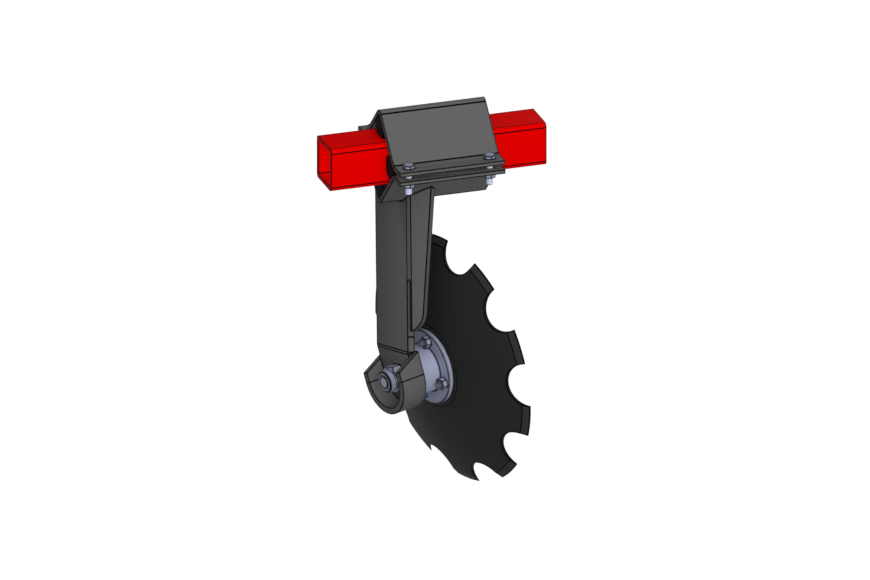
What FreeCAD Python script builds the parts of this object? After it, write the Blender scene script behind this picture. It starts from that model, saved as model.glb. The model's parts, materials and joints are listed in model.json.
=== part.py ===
import FreeCAD, Part
import math
import os
import Sketcher

V = FreeCAD.Vector
Rotation = FreeCAD.Rotation
Placement = FreeCAD.Placement

# Trailing disc unit of a compact clod breaker: a square crossbar is held in a two-piece V clamp
# with four rubber cords between, and a folded plate arm carries a notched, dished disc on a
# stub spindle. Origin: middle of the crossbar. X along the crossbar, Y forward, Z up. Millimetres.

SIZES = [
    # crossbar
    ("bar_side", 80), ("bar_wall", 8), ("bar_corner", 8), ("bar_length", 400),
    # V clamp, two folded plates
    ("clamp_length", 196), ("clamp_apex", 88), ("clamp_plate", 8), ("apex_bend", 14),
    ("foot_bend", 4), ("flange_reach", 117), ("flange_gap", 9.2), ("hole_slack", 0.5),
    ("clamp_bolt_dia", 12), ("clamp_bolt_across", 19), ("clamp_head_height", 7.5),
    ("clamp_nut_height", 10.8), ("clamp_bolt_length", 50), ("bolt_pitch", 150),
    ("bolt_row", 97.5),
    # rubber cords
    ("cord_slack", 0.3),
    # axle line: where the spindle leaves the outer face of the arm, and how it points
    ("axle_across", -88.5), ("axle_back", 87.9), ("axle_drop", 385.8),
    ("disc_yaw", 17.7), ("disc_tilt", 4.8), ("arm_lean", 18.85),
    # folded plate arm
    ("arm_width", 94), ("arm_plate", 15), ("tab_length", 51), ("tab_fold", 17.3),
    ("fold_skew", 10.3), ("wing_fold", 30), ("wing_bend", 4),
    ("wing_reach", 43), ("wing_root", 18.2), ("wing_taper", 4.6), ("wing_start", 30),
    ("wing_foot_rise", 21.8), ("wing_curve", 36.5), ("slot_width", 6), ("slot_top", 121),
    ("arm_top", 298), ("arm_top_corner", 15), ("arm_tongue", 20),
    # guard round the spindle nut
    ("guard_wall", 12), ("guard_depth", 50), ("guard_low", 18), ("guard_high", 43),
    # spindle, its nut and the bearings
    ("spindle_dia", 30), ("spindle_proud", 35), ("spindle_chamfer", 1.6), ("spindle_slack", 0.25),
    ("nut_across", 46), ("nut_height", 21), ("nut_collar_dia", 42), ("nut_collar", 10),
    ("spindle_head_dia", 44), ("spindle_head", 4), ("bearing_dia", 72), ("bearing_width", 45),
    ("race_dia", 51), ("race_slack", 0.05),
    # hub
    ("hub_gap", 2), ("barrel_dia", 87), ("barrel_length", 40.5), ("flange_dia", 137),
    ("flange_width", 11), ("hub_nose_dia", 80), ("hub_nose", 14), ("end_room", 1),
    # disc and its bolts
    ("disc_dia", 460), ("disc_plate", 5), ("disc_dish", 43.5), ("disc_flat_dia", 153),
    ("dish_bands", 3),
    ("rim_bevel", 12), ("rim_edge", 1.5), ("notch_number", 10), ("notch_radius", 40),
    ("notch_phase", -4.45), ("disc_fit", 0.3), ("disc_bolt_dia", 12), ("disc_bolt_circle", 112),
    ("disc_bolt_number", 4), ("disc_bolt_phase", 32), ("disc_bolt_across", 19),
    ("disc_head_height", 7.5), ("disc_nut_height", 10.8), ("disc_bolt_end", 8),
]

doc = FreeCAD.newDocument("disc_unit")
sheet = doc.addObject("Spreadsheet::Sheet", "sizes")
for row, (alias, number) in enumerate(SIZES, start=1):
    sheet.set("A%d" % row, alias)
    sheet.set("B%d" % row, str(number))
    sheet.setAlias("B%d" % row, alias)
doc.recompute()


def size(alias):
    return float(sheet.get(alias))


def bind(thing, **formulas):
    for name, formula in formulas.items():
        thing.setExpression(name.replace("__", "."), formula)


# How far an outline that cuts runs past the piece that it cuts
OVERRUN = 2

# Derived places, all from the sheet

HALF_BAR = size("bar_side") / 2
CLAMP_CORNER = size("clamp_apex") + size("apex_bend") * (math.sqrt(2) - 1)
CLAMP_INSIDE = CLAMP_CORNER - size("clamp_plate") * math.sqrt(2)
FLANGE_IN = size("flange_gap") / 2
FLANGE_OUT = FLANGE_IN + size("clamp_plate")
CORD_RADIUS = (CLAMP_INSIDE - HALF_BAR - size("cord_slack") * (1 + math.sqrt(2))) / (1 + math.sqrt(2))
CORD_OFFSET = HALF_BAR + size("cord_slack") + CORD_RADIUS

# Stations along the axle, counted from the arm's outer face towards the disc
BARREL_AT = size("arm_plate") + size("hub_gap")
FLANGE_AT = BARREL_AT + size("barrel_length")
DISC_AT = FLANGE_AT + size("flange_width")
DISC_BACK = DISC_AT + size("disc_plate")
RIM_AT = DISC_AT + size("disc_dish")
BEARING_END = BARREL_AT + size("bearing_width")
HEAD_END = BEARING_END + size("spindle_head")
NOSE_END = DISC_AT + size("hub_nose")


def axle_frame():
    yaw = math.radians(size("disc_yaw"))
    tilt = math.radians(size("disc_tilt"))
    lean = math.radians(size("arm_lean"))
    inward = V(math.cos(tilt) * math.cos(yaw), math.cos(tilt) * math.sin(yaw), math.sin(tilt))
    level = V(math.sin(yaw), -math.cos(yaw), 0)
    rise = level.cross(inward)
    across = level * math.cos(lean) + rise * math.sin(lean)
    upward = rise * math.cos(lean) - level * math.sin(lean)
    base = V(size("axle_across"), -size("axle_back"), -size("axle_drop"))
    return Placement(base, Rotation(across, inward, upward, "ZXY"))


# Local frames: x across the arm towards the wing, y into the part from the arm's outer face,
# z up along the arm. The axle frame stands on the tab and the arm frame on the fold above it.
AXLE = axle_frame()
SKEW = math.radians(size("fold_skew"))
FOLD_LINE = V(math.cos(SKEW), 0, -math.sin(SKEW))
FOLD_POINT = V(0, 0, size("tab_length"))
ARM = AXLE.multiply(Placement(FOLD_POINT, Rotation(FOLD_LINE, -size("tab_fold"))))
WORLD = Placement()


def plane(body, role):
    return next(item for item in body.Origin.OriginFeatures if item.Role == role)


def new_body(label):
    body = doc.addObject("PartDesign::Body", label)
    body.Label = label
    return body


def add_sketch(body, role, offset=WORLD):
    sketch = body.newObject("Sketcher::SketchObject", "Sketch")
    sketch.AttachmentSupport = [(plane(body, role), "")]
    sketch.MapMode = "FlatFace"
    sketch.AttachmentOffset = offset
    return sketch


def outline(sketch, corners):
    """Closed outline through corners (x, y) or (x, y, radius), each radius a tangent arc."""
    points = [V(c[0], c[1], 0) for c in corners]
    radii = [c[2] if len(c) > 2 else 0 for c in corners]
    count = len(points)
    entry, leave, arcs = [], [], []
    for i in range(count):
        here = points[i]
        to_last = (points[i - 1] - here).normalize()
        to_next = (points[(i + 1) % count] - here).normalize()
        if radii[i] <= 0:
            entry.append(here)
            leave.append(here)
            arcs.append(None)
            continue
        half = to_last.getAngle(to_next) / 2
        run = radii[i] / math.tan(half)
        start = here + to_last * run
        end = here + to_next * run
        bisector = (to_last + to_next).normalize()
        middle = here + bisector * (radii[i] / math.sin(half) - radii[i])
        entry.append(start)
        leave.append(end)
        arcs.append(Part.Arc(start, middle, end))
    for i in range(count):
        if arcs[i] is not None:
            sketch.addGeometry(arcs[i])
        nxt = (i + 1) % count
        if leave[i].distanceToPoint(entry[nxt]) > 1e-6:
            sketch.addGeometry(Part.LineSegment(leave[i], entry[nxt]))


def circle(sketch, x, y, formula, radius):
    index = sketch.addGeometry(Part.Circle(V(x, y, 0), V(0, 0, 1), radius))
    number = sketch.addConstraint(Sketcher.Constraint("Radius", index, radius))
    sketch.setExpression("Constraints[%d]" % number, formula)
    return index


def pad(body, sketch, formula, side="Symmetric"):
    feature = body.newObject("PartDesign::Pad", "Pad")
    feature.Profile = sketch
    feature.SideType = side
    feature.setExpression("Length", formula)
    return feature


def pocket_through(body, sketch):
    feature = body.newObject("PartDesign::Pocket", "Pocket")
    feature.Profile = sketch
    feature.SideType = "Symmetric"
    feature.Type = "Length"
    feature.setExpression("Length", "4 * sizes.disc_dia")
    return feature


def revolve(body, sketch):
    feature = body.newObject("PartDesign::Revolution", "Revolution")
    feature.Profile = sketch
    feature.ReferenceAxis = (sketch, ["V_Axis"])
    feature.Angle = 360
    return feature


def around(body, feature, formula):
    pattern = body.newObject("PartDesign::PolarPattern", "PolarPattern")
    pattern.Originals = [feature]
    pattern.Axis = (plane(body, "Y_Axis"), [""])
    pattern.Angle = 360
    pattern.setExpression("Occurrences", formula)
    body.Tip = pattern
    return pattern


def turned(label, profile, place=AXLE):
    """A turned piece on the axle line: profile is (radius, station) corners."""
    body = new_body(label)
    outline(add_sketch(body, "XY_Plane"), profile)
    revolve(body, body.Group[-1])
    body.Placement = place
    return body


def washer_profile(inner, outer, start, end):
    return [(inner, start), (outer, start), (outer, end), (inner, end)]


def hide_from_export(thing):
    thing.Label = "tool_" + thing.Name


# Crossbar: square tube, open ends

def crossbar_tube():
    body = new_body("crossbar_tube")
    half = HALF_BAR
    bend = size("bar_corner")
    outer = add_sketch(body, "YZ_Plane")
    outline(outer, [(-half, -half, bend), (half, -half, bend), (half, half, bend), (-half, half, bend)])
    pad(body, outer, "sizes.bar_length")
    inner = add_sketch(body, "YZ_Plane")
    half -= size("bar_wall")
    bend = max(bend - size("bar_wall"), 0)
    outline(inner, [(-half, -half, bend), (half, -half, bend), (half, half, bend), (-half, half, bend)])
    pocket_through(body, inner)
    return body


# V clamp: one folded plate over the crossbar and its mirror image below

def clamp_outline(sign):
    reach = size("flange_reach")
    foot = size("foot_bend")
    plate = size("clamp_plate")
    apex = size("apex_bend")
    outer_foot = CLAMP_CORNER - FLANGE_OUT
    inner_foot = CLAMP_INSIDE - FLANGE_IN
    corners = [
        (-reach, FLANGE_OUT), (-outer_foot, FLANGE_OUT, foot), (0, CLAMP_CORNER, apex),
        (outer_foot, FLANGE_OUT, foot), (reach, FLANGE_OUT), (reach, FLANGE_IN),
        (inner_foot, FLANGE_IN, foot + plate), (0, CLAMP_INSIDE, max(apex - plate, 1)),
        (-inner_foot, FLANGE_IN, foot + plate), (-reach, FLANGE_IN),
    ]
    return [(c[0], sign * c[1]) + tuple(c[2:]) for c in corners]


def bolt_places():
    pitch = size("bolt_pitch") / 2
    row = size("bolt_row")
    return [(x, y) for x in (-pitch, pitch) for y in (-row, row)]


def clamp_plate(label, sign):
    body = new_body(label)
    profile = add_sketch(body, "YZ_Plane")
    outline(profile, clamp_outline(sign))
    pad(body, profile, "sizes.clamp_length")
    holes = add_sketch(body, "XY_Plane")
    radius = size("clamp_bolt_dia") / 2 + size("hole_slack")
    for x, y in bolt_places():
        circle(holes, x, y, "sizes.clamp_bolt_dia / 2 + sizes.hole_slack", radius)
    pocket_through(body, holes)
    return body


# Bolts and nuts: a hexagon and a cylinder each, one node for each set of four

def hexagon(name, across_formula, height_formula, place):
    prism = doc.addObject("Part::Prism", name)
    prism.Polygon = 6
    bind(prism, Circumradius="%s / sqrt(3)" % across_formula, Height=height_formula)
    prism.Placement = place
    hide_from_export(prism)
    return prism


def cylinder(name, radius_formula, height_formula, place):
    round_bar = doc.addObject("Part::Cylinder", name)
    bind(round_bar, Radius=radius_formula, Height=height_formula)
    round_bar.Placement = place
    hide_from_export(round_bar)
    return round_bar


def joined(kind, name, pieces):
    group = doc.addObject(kind, name)
    if kind == "Part::Compound":
        group.Links = pieces
    else:
        group.Shapes = pieces
    return group


def bolt_set(label, frames, dia, across, head, length):
    """Bolts whose heads sit on each frame's base, heads towards -z and shanks towards +z."""
    bolts = []
    drop = Placement(V(0, 0, -size(head)), Rotation())
    for number, frame in enumerate(frames):
        name = "%s_%d" % (label, number)
        top = hexagon(name + "_head", "sizes." + across, "sizes." + head, frame.multiply(drop))
        shank = cylinder(name + "_shank", "sizes.%s / 2" % dia, length, frame)
        whole = joined("Part::MultiFuse", name, [top, shank])
        hide_from_export(whole)
        bolts.append(whole)
    node = joined("Part::Compound", label, bolts)
    node.Label = label
    return node


def nut_set(label, frames, across, height, bore_dia):
    """Nuts that sit on each frame's base and reach towards +z, bored to clear the bolt."""
    nuts = []
    for number, frame in enumerate(frames):
        name = "%s_%d" % (label, number)
        body = hexagon(name + "_hex", "sizes." + across, "sizes." + height, frame)
        bore = cylinder(name + "_bore", "sizes.%s / 2 + sizes.race_slack" % bore_dia,
                        "sizes." + height, frame)
        cut = doc.addObject("Part::Cut", name + "_cut")
        cut.Base = body
        cut.Tool = bore
        hide_from_export(cut)
        nuts.append(cut)
    node = joined("Part::Compound", label, nuts)
    node.Label = label
    return node


DOWN = Rotation(V(1, 0, 0), 180)


def clamp_bolts():
    frames = [Placement(V(x, y, FLANGE_OUT), DOWN) for x, y in bolt_places()]
    return bolt_set("clamp_bolts", frames, "clamp_bolt_dia", "clamp_bolt_across",
                    "clamp_head_height", "sizes.clamp_bolt_length")


def clamp_nuts():
    frames = [Placement(V(x, y, -FLANGE_OUT), DOWN) for x, y in bolt_places()]
    return nut_set("clamp_nuts", frames, "clamp_bolt_across", "clamp_nut_height", "clamp_bolt_dia")


# Rubber cords in the four pockets between crossbar and clamp, cut to the clamp's length

def rubber_cord(label, y, z):
    start = Placement(V(-size("clamp_length") / 2, y * CORD_OFFSET, z * CORD_OFFSET),
                      Rotation(V(0, 1, 0), 90))
    cord = doc.addObject("Part::Cylinder", label)
    cord.Label = label
    cord.Radius = CORD_RADIUS
    bind(cord, Height="sizes.clamp_length")
    cord.Placement = start
    return cord


# Arm: a single folded plate. Front bar, wing folded back along one edge, tab folded below

def arm_bar_blank():
    """Bar and wing, padded along the arm from below the fold up into the clamp."""
    body = new_body("arm_bar_blank")
    half = size("arm_width") / 2
    plate = size("arm_plate")
    inner = size("wing_bend")
    outer = inner + plate
    fold = math.radians(size("wing_fold"))
    reach = size("wing_reach")
    section = add_sketch(body, "XY_Plane")
    centre = V(half, outer, 0)

    def on_bend(radius, angle):
        return centre + V(radius * math.sin(angle), -radius * math.cos(angle), 0)

    along = V(math.cos(fold), math.sin(fold), 0)
    front_end = on_bend(outer, fold)
    back_end = on_bend(inner, fold)
    runs = [
        Part.LineSegment(V(-half, 0, 0), V(half, 0, 0)),
        Part.Arc(V(half, 0, 0), on_bend(outer, fold / 2), front_end),
        Part.LineSegment(front_end, front_end + along * reach),
        Part.LineSegment(front_end + along * reach, back_end + along * reach),
        Part.LineSegment(back_end + along * reach, back_end),
        Part.Arc(back_end, on_bend(inner, fold / 2), V(half, plate, 0)),
        Part.LineSegment(V(half, plate, 0), V(-half, plate, 0)),
        Part.LineSegment(V(-half, plate, 0), V(-half, 0, 0)),
    ]
    for run in runs:
        section.addGeometry(run)
    section.AttachmentOffset = Placement(V(0, 0, -size("tab_length")), Rotation())
    pad(body, section, "sizes.axle_drop + sizes.tab_length", side="One side")
    trim_wing(body, front_end)
    trim_wing_foot(body)
    trim_top(body)
    body.Placement = ARM
    hide_from_export(body)
    return body


def trim_wing(body, front_end):
    """Back edge of the wing: a straight taper down the arm, then a curve in to the slot."""
    fold = size("wing_fold")
    foot = size("wing_start")
    rise = math.tan(math.radians(size("wing_foot_rise")))
    taper = math.tan(math.radians(size("wing_taper")))
    top = 2 * size("axle_drop")
    far = 4 * size("wing_reach")
    corner = (size("wing_root") + taper * foot) / (1 - taper * rise)
    place = Placement(V(front_end.x, 0, -front_end.y), Rotation(V(0, 1, 0), fold))
    sketch = add_sketch(body, "XZ_Plane", place)
    outline(sketch, [
        (far, top), (size("wing_root") + taper * top, top),
        (corner, foot + rise * corner, size("wing_curve")),
        (-OVERRUN, foot - OVERRUN * rise), (far, foot - OVERRUN * rise),
    ])
    pocket_through(body, sketch)


def trim_wing_foot(body):
    """Square edge of the bar below the wing, and the relief slot up the bend."""
    half = size("arm_width") / 2
    foot = size("wing_start")
    low = -2 * size("tab_length")
    wide = size("slot_width")
    far = 4 * size("wing_reach")
    edge = add_sketch(body, "XZ_Plane")
    outline(edge, [(half, low), (half + far, low), (half + far, foot), (half, foot)])
    pocket_through(body, edge)
    slot = add_sketch(body, "XZ_Plane")
    outline(slot, [(half, foot - wide), (half + wide, foot - wide),
                   (half + wide, size("slot_top"), wide * 0.49), (half, size("slot_top"), wide * 0.49)])
    pocket_through(body, slot)


def trim_top(body):
    """Bar's top, cut off square below the clamp's front bolts but for a tongue beside the wing."""
    half = size("arm_width") / 2
    top = size("arm_top")
    corner = size("arm_top_corner")
    tongue = half - size("arm_tongue")
    far = size("axle_drop") + OVERRUN
    sketch = add_sketch(body, "XZ_Plane")
    outline(sketch, [
        (-half, top - corner), (-half + corner, top), (tongue, top), (tongue, far),
        (-half - OVERRUN, far), (-half - OVERRUN, top - corner),
    ])
    pocket_through(body, sketch)


def arm_tab_blank():
    """Tab below the fold: rounded round the spindle hole."""
    body = new_body("arm_tab_blank")
    half = size("arm_width") / 2
    top = 2 * size("tab_length")
    face = add_sketch(body, "XZ_Plane")
    runs = [
        Part.LineSegment(V(-half, 0, 0), V(-half, top, 0)),
        Part.LineSegment(V(-half, top, 0), V(half, top, 0)),
        Part.LineSegment(V(half, top, 0), V(half, 0, 0)),
        Part.Arc(V(half, 0, 0), V(0, -half, 0), V(-half, 0, 0)),
    ]
    for run in runs:
        face.addGeometry(run)
    plate = pad(body, face, "sizes.arm_plate", side="One side")
    plate.Reversed = True
    hole = add_sketch(body, "XZ_Plane")
    circle(hole, 0, 0, "sizes.spindle_dia / 2 + sizes.spindle_slack",
           size("spindle_dia") / 2 + size("spindle_slack"))
    pocket_through(body, hole)
    body.Placement = AXLE
    hide_from_export(body)
    return body


def half_space(name, upper):
    """A large block on one side of the plane that halves the fold."""
    reach = 3 * size("axle_drop")
    block = doc.addObject("Part::Box", name)
    block.Length = 2 * reach
    block.Width = 2 * reach
    block.Height = reach
    turn = Rotation(FOLD_LINE, -size("tab_fold") / 2).multiply(Rotation(V(0, 1, 0), size("fold_skew")))
    frame = AXLE.multiply(Placement(FOLD_POINT, turn))
    corner = V(-reach, -reach, 0 if upper else -reach)
    block.Placement = frame.multiply(Placement(corner, Rotation()))
    hide_from_export(block)
    return block


def cut(name, base, tool):
    result = doc.addObject("Part::Cut", name)
    result.Base = base
    result.Tool = tool
    hide_from_export(result)
    return result


def clamp_envelope():
    """Everything inside the lower clamp plate's outer faces, which the arm's top is cut to."""
    body = new_body("clamp_envelope")
    reach = size("flange_reach") * 2
    sketch = add_sketch(body, "YZ_Plane")
    outline(sketch, [
        (-reach, -FLANGE_OUT), (-(CLAMP_CORNER - FLANGE_OUT), -FLANGE_OUT, size("foot_bend")),
        (0, -CLAMP_CORNER, size("apex_bend")),
        (CLAMP_CORNER - FLANGE_OUT, -FLANGE_OUT, size("foot_bend")),
        (reach, -FLANGE_OUT), (reach, reach * 3), (-reach, reach * 3),
    ])
    pad(body, sketch, "3 * sizes.bar_length")
    hide_from_export(body)
    return body


def trailing_arm():
    bar = cut("bar_above_fold", arm_bar_blank(), half_space("below_fold", False))
    tab = cut("tab_below_fold", arm_tab_blank(), half_space("above_fold", True))
    whole = joined("Part::MultiFuse", "folded_plate", [bar, tab])
    whole.Refine = True
    hide_from_export(whole)
    arm = cut("arm_in_clamp", whole, clamp_envelope())
    arm.Label = "trailing_arm"
    return arm


# Guard: half pipe welded round the tab, with ears that fall away outwards

def hub_guard():
    body = new_body("hub_guard")
    inner = size("arm_width") / 2
    outer = inner + size("guard_wall")
    high = size("guard_high")
    section = add_sketch(body, "XZ_Plane")
    runs = [
        Part.LineSegment(V(-outer, 0, 0), V(-outer, high, 0)),
        Part.LineSegment(V(-outer, high, 0), V(-inner, high, 0)),
        Part.LineSegment(V(-inner, high, 0), V(-inner, 0, 0)),
        Part.Arc(V(-inner, 0, 0), V(0, -inner, 0), V(inner, 0, 0)),
        Part.LineSegment(V(inner, 0, 0), V(inner, high, 0)),
        Part.LineSegment(V(inner, high, 0), V(outer, high, 0)),
        Part.LineSegment(V(outer, high, 0), V(outer, 0, 0)),
        Part.Arc(V(outer, 0, 0), V(0, -outer, 0), V(-outer, 0, 0)),
    ]
    for run in runs:
        section.addGeometry(run)
    section.AttachmentOffset = Placement(V(0, 0, -size("arm_plate")), Rotation())
    pad(body, section, "sizes.guard_depth", side="One side")
    slope = add_sketch(body, "YZ_Plane")
    back = size("arm_plate")
    front = back - size("guard_depth")
    outline(slope, [(front - OVERRUN, size("guard_low")), (front, size("guard_low")), (back, high),
                    (back, high + OVERRUN), (front - OVERRUN, high + OVERRUN)])
    pocket_through(body, slope)
    body.Placement = AXLE
    return body


# Spindle and what is threaded or pressed on it

def spindle():
    shank = size("spindle_dia") / 2
    chamfer = size("spindle_chamfer")
    return turned("spindle", [
        (0, -size("spindle_proud")), (shank - chamfer, -size("spindle_proud")),
        (shank, chamfer - size("spindle_proud")), (shank, BEARING_END),
        (size("spindle_head_dia") / 2, BEARING_END), (size("spindle_head_dia") / 2, HEAD_END),
        (0, HEAD_END),
    ])


def spindle_nut():
    seat = AXLE.multiply(Placement(V(0, 0, 0), Rotation(V(1, 0, 0), 90)))
    blank = hexagon("nut_hex", "sizes.nut_across", "sizes.nut_height", seat)
    bore = cylinder("nut_bore", "sizes.spindle_dia / 2 + sizes.race_slack", "sizes.nut_height", seat)
    nut = cut("nut_bored", blank, bore)
    nut.Label = "spindle_nut"
    return nut


def spindle_collar():
    """Round lock collar outside the nut."""
    bore = size("spindle_dia") / 2 + size("race_slack")
    end = -size("nut_height")
    return turned("spindle_collar",
                  washer_profile(bore, size("nut_collar_dia") / 2, end - size("nut_collar"), end))


# Sealed double-row bearing between spindle and hub: two rings, which run on each other. The
# inner ring is longer and seats on the arm, so the spindle nut clamps it.

def bearing_rings():
    slack = size("race_slack")
    race = size("race_dia") / 2
    bore = size("spindle_dia") / 2 + slack
    outside = size("bearing_dia") / 2 - slack
    turned("bearing_inner_ring",
           washer_profile(bore, race - slack, size("arm_plate"), BEARING_END))
    turned("bearing_outer_ring", washer_profile(race, outside, BARREL_AT, BEARING_END))


# Hub: barrel, flange and closed nose in one casting

def hub_housing():
    bore = size("bearing_dia") / 2
    barrel = size("barrel_dia") / 2
    flange = size("flange_dia") / 2
    nose = size("hub_nose_dia") / 2
    floor = HEAD_END + size("end_room")
    body = turned("hub_housing", [
        (bore, BARREL_AT), (barrel, BARREL_AT), (barrel, FLANGE_AT), (flange, FLANGE_AT),
        (flange, DISC_AT), (nose, DISC_AT), (nose, NOSE_END), (0, NOSE_END), (0, floor),
        (bore, floor),
    ])
    bolt_holes(body, "sizes.disc_bolt_dia / 2 + sizes.hole_slack / 2")
    return body


def bolt_spot():
    angle = math.radians(size("disc_bolt_phase"))
    radius = size("disc_bolt_circle") / 2
    return radius * math.sin(angle), radius * math.cos(angle)


def bolt_holes(body, formula):
    sketch = add_sketch(body, "XZ_Plane")
    x, z = bolt_spot()
    circle(sketch, x, z, formula, size("disc_bolt_dia") / 2 + size("hole_slack") / 2)
    hole = pocket_through(body, sketch)
    around(body, hole, "sizes.disc_bolt_number")


# Disc: dished plate with round notches ground into a bevelled rim

def dish_radius():
    flat = size("disc_flat_dia") / 2
    rim = size("disc_dia") / 2
    dish = size("disc_dish")
    centre = (rim ** 2 - flat ** 2 - dish ** 2) / (2 * dish)
    return math.hypot(rim, centre), centre


def disc_blade():
    """The dish follows a sphere in narrow conical bands, front and back alike."""
    ball, centre = dish_radius()
    plate = size("disc_plate")
    flat = size("disc_flat_dia") / 2
    rim = size("disc_dia") / 2
    inner_rim = rim - size("rim_bevel")
    hole = size("hub_nose_dia") / 2 + size("disc_fit")
    middle = RIM_AT + centre

    def on_dish(distance, depth):
        return distance, middle - math.sqrt((ball - depth) ** 2 - distance ** 2)

    count = int(size("dish_bands"))
    steps = [flat + (inner_rim - flat) * i / count for i in range(1, count + 1)]
    convex = [on_dish(step, 0) for step in steps]
    concave = [on_dish(step, plate) for step in steps]
    rim_edge = on_dish(rim, plate - size("rim_edge"))
    rim_back = on_dish(rim, plate)
    body = new_body("disc_blade")
    outline(add_sketch(body, "XY_Plane"),
            [(hole, DISC_AT), (flat, DISC_AT)] + convex + [rim_edge, rim_back]
            + concave[::-1] + [(flat, DISC_BACK), (hole, DISC_BACK)])
    revolve(body, body.Group[-1])
    bolt_holes(body, "sizes.disc_bolt_dia / 2 + sizes.hole_slack / 2")
    notch = add_sketch(body, "XZ_Plane")
    angle = math.radians(size("notch_phase"))
    circle(notch, rim * math.sin(angle), rim * math.cos(angle), "sizes.notch_radius",
           size("notch_radius"))
    around(body, pocket_through(body, notch), "sizes.notch_number")
    body.Placement = AXLE
    return body


def disc_bolt_frames(station, direction):
    x, z = bolt_spot()
    count = int(size("disc_bolt_number"))
    frames = []
    for number in range(count):
        turn = Placement(V(0, 0, 0), Rotation(V(0, 1, 0), 360.0 * number / count))
        seat = Placement(V(x, station, z), Rotation(V(1, 0, 0), 90 * direction))
        frames.append(AXLE.multiply(turn).multiply(seat))
    return frames


def disc_bolts():
    length = ("sizes.disc_plate + sizes.flange_width + sizes.disc_nut_height + sizes.disc_bolt_end")
    return bolt_set("disc_bolts", disc_bolt_frames(DISC_BACK, 1), "disc_bolt_dia",
                    "disc_bolt_across", "disc_head_height", length)


def disc_nuts():
    return nut_set("disc_nuts", disc_bolt_frames(FLANGE_AT, 1), "disc_bolt_across",
                   "disc_nut_height", "disc_bolt_dia")


def build():
    crossbar_tube()
    clamp_plate("upper_clamp_plate", 1)
    clamp_plate("lower_clamp_plate", -1)
    clamp_bolts()
    clamp_nuts()
    rubber_cord("rubber_cord_top", 0, 1)
    rubber_cord("rubber_cord_bottom", 0, -1)
    rubber_cord("rubber_cord_front", 1, 0)
    rubber_cord("rubber_cord_rear", -1, 0)
    trailing_arm()
    hub_guard()
    spindle()
    spindle_nut()
    spindle_collar()
    bearing_rings()
    hub_housing()
    disc_blade()
    disc_bolts()
    disc_nuts()


NODES = [
    "crossbar_tube", "upper_clamp_plate", "lower_clamp_plate", "clamp_bolts", "clamp_nuts",
    "rubber_cord_top", "rubber_cord_bottom", "rubber_cord_front", "rubber_cord_rear",
    "trailing_arm", "hub_guard", "spindle", "spindle_nut", "spindle_collar",
    "bearing_inner_ring", "bearing_outer_ring", "hub_housing", "disc_blade", "disc_bolts",
    "disc_nuts",
]


def check_and_write():
    doc.recompute()
    faults = [item.Label for item in doc.Objects if {"Invalid", "Error"} & set(item.State)]
    if faults:
        raise RuntimeError("failed objects: " + ", ".join(faults))
    os.makedirs("parts", exist_ok=True)
    for label in NODES:
        item = doc.getObjectsByLabel(label)[0]
        shape = item.Shape
        if shape.isNull() or not shape.isValid():
            raise RuntimeError("bad shape: " + label)
        shape.exportStep("parts/%s.step" % label)
        print("%-28s solids %2d volume %10.0f" % (label, len(shape.Solids), shape.Volume))


build()
check_and_write()
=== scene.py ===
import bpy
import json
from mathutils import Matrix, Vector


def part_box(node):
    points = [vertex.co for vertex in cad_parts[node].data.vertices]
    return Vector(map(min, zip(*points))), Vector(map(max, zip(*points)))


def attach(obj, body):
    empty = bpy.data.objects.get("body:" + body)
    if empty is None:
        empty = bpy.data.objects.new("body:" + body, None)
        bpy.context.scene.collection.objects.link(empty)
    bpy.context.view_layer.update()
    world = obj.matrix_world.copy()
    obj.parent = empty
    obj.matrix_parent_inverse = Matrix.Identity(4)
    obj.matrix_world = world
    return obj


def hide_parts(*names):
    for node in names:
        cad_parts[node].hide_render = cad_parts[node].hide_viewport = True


bl_info = {
    "name": "Clod Breaker Disc Unit",
    "version": (1, 0, 0),
    "blender": (4, 5, 0),
    "location": "3D View > Sidebar > Disc Unit",
    "description": "Pieces, finishes, floor, light and camera of a clod breaker disc unit",
    "category": "Object",
}

import json
import math

import bpy
from mathutils import Matrix, Vector

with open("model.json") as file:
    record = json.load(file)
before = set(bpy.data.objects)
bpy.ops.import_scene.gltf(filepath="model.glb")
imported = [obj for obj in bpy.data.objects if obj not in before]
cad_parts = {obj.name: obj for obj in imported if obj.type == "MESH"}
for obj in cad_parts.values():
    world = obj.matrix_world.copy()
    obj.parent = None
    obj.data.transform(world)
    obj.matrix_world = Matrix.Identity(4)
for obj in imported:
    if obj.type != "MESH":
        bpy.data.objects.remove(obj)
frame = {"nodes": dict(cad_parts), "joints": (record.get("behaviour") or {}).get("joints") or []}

ORIGIN = (0.0, 0.0, 0.0)
WHITE = (1, 1, 1, 1)
HALF_TURN = Matrix.Rotation(math.pi, 4, "X")

# Points this close are one, faces this flat to each other are one, and corners this close to
# the fold lie on it
MERGE_DISTANCE = 1e-6
FLAT_ANGLE = math.radians(0.5)
ON_FOLD = 0.00005
# Cutters reach past what they cut, and joined shapes reach into each other
CUTTER_LENGTH = 0.3
CUT_PAST = 0.002
OVERLAP = 0.001
# Chamfer of a turned head or nut: its slope, where it starts and how far it reaches
CHAMFER_SLOPE = math.tan(math.radians(30))
CHAMFER_START = 0.97
CHAMFER_REACH = 1.05
# Fasteners: play on the thread and in the hole, and depth of the thread in pitches
THREAD_PLAY = 0.00005
HOLE_PLAY = 0.00025
THREAD_DEPTH = 0.61
# Drawn lines and painted contact shade: samples, the turn of an edge, the openness at a contact
# and the fade of a seam
LINE_SAMPLES = 8
EDGE_TURN = (0.006, 0.014)
CONTACT_OPENNESS = (0.60, 0.72)
SEAM_FADE = 0.3
CIRCLE_LINE = (0.0008, 0.0014)
BEVEL_FADE = 0.0004
EDGE_SKIN = 0.0003


# Sizes and colours that a user would change


def metres(label, words, value):
    return bpy.props.FloatProperty(name=label, description=words, default=value, unit="LENGTH")


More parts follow.
